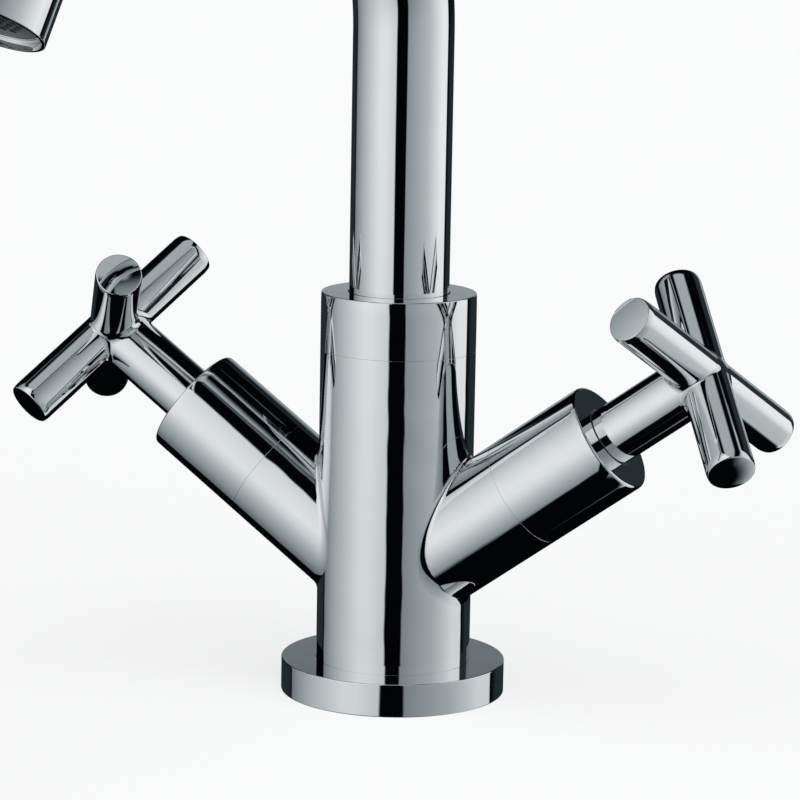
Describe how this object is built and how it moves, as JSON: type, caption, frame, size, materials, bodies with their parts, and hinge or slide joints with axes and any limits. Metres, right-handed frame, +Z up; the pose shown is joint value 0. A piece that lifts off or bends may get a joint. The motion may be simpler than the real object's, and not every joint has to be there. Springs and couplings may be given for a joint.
{
  "type": "basin mixer tap",
  "caption": "Chromed basin mixer tap with a round body, slanted valve arms, cross handles and a high swivel spout.",
  "frame": {"origin": "centre of the base flange's underside, on the deck", "axes": "+Z up along the body, arms along X with cold on +X, spout towards -Y"},
  "size_m": [0.2116, 0.1872, 0.2665],
  "materials": {
    "chrome": "polished",
    "brass": "machined",
    "steel": "plain",
    "black_rubber": "matt",
    "red_fibre": "matt",
    "ceramic": "lapped",
    "white_plastic": "plain",
    "gray_plastic": "moulded",
    "guide_plastic": "moulded"
  },
  "bodies": {
    "root": {"main_body": "chrome", "base_flange": "chrome", "flange_gasket": "black_rubber", "body_collar": "chrome", "lower_glide_ring": "white_plastic", "upper_glide_ring": "white_plastic", "spout_stop_screw": "steel", "hot_sleeve": "chrome", "hot_valve_housing": "brass", "hot_fixed_disc": "ceramic", "hot_seat_seal": "black_rubber", "hot_housing_gasket": "red_fibre", "hot_stem_guide": "guide_plastic", "cold_sleeve": "chrome", "cold_valve_housing": "brass", "cold_fixed_disc": "ceramic", "cold_seat_seal": "black_rubber", "cold_housing_gasket": "red_fibre", "cold_stem_guide": "guide_plastic"},
    "spout": {"spout_tube": "chrome", "spout_end": "chrome", "spout_foot": "brass", "lower_foot_seal": "black_rubber", "upper_foot_seal": "black_rubber", "aerator_ring": "chrome", "aerator_honeycomb": "gray_plastic", "aerator_strainer": "steel", "aerator_washer": "black_rubber"},
    "hot_handle": {"hot_cross_handle": "chrome", "hot_grub_screw": "steel", "hot_spindle": "brass", "hot_moving_disc": "ceramic", "hot_spline_insert": "white_plastic", "hot_spindle_seal": "black_rubber", "hot_spindle_clip": "steel"},
    "cold_handle": {"cold_cross_handle": "chrome", "cold_grub_screw": "steel", "cold_spindle": "brass", "cold_moving_disc": "ceramic", "cold_spline_insert": "white_plastic", "cold_spindle_seal": "black_rubber", "cold_spindle_clip": "steel"}
  },
  "joints": [
    {"name": "spout_swivel", "type": "hinge", "parent": "root", "child": "spout", "pos_m": [0, 0, 0.0815], "axis": [0, 0, 1], "range_deg": [-42.5, 77.5]},
    {"name": "hot_turn", "type": "hinge", "parent": "root", "child": "hot_handle", "pos_m": [0, 0, 0.0314], "axis": [-0.809, 0, 0.5878], "range_deg": [0, 90]},
    {"name": "cold_turn", "type": "hinge", "parent": "root", "child": "cold_handle", "pos_m": [0, 0, 0.0314], "axis": [0.809, 0, 0.5878], "range_deg": [-90, 0]}
  ]
}
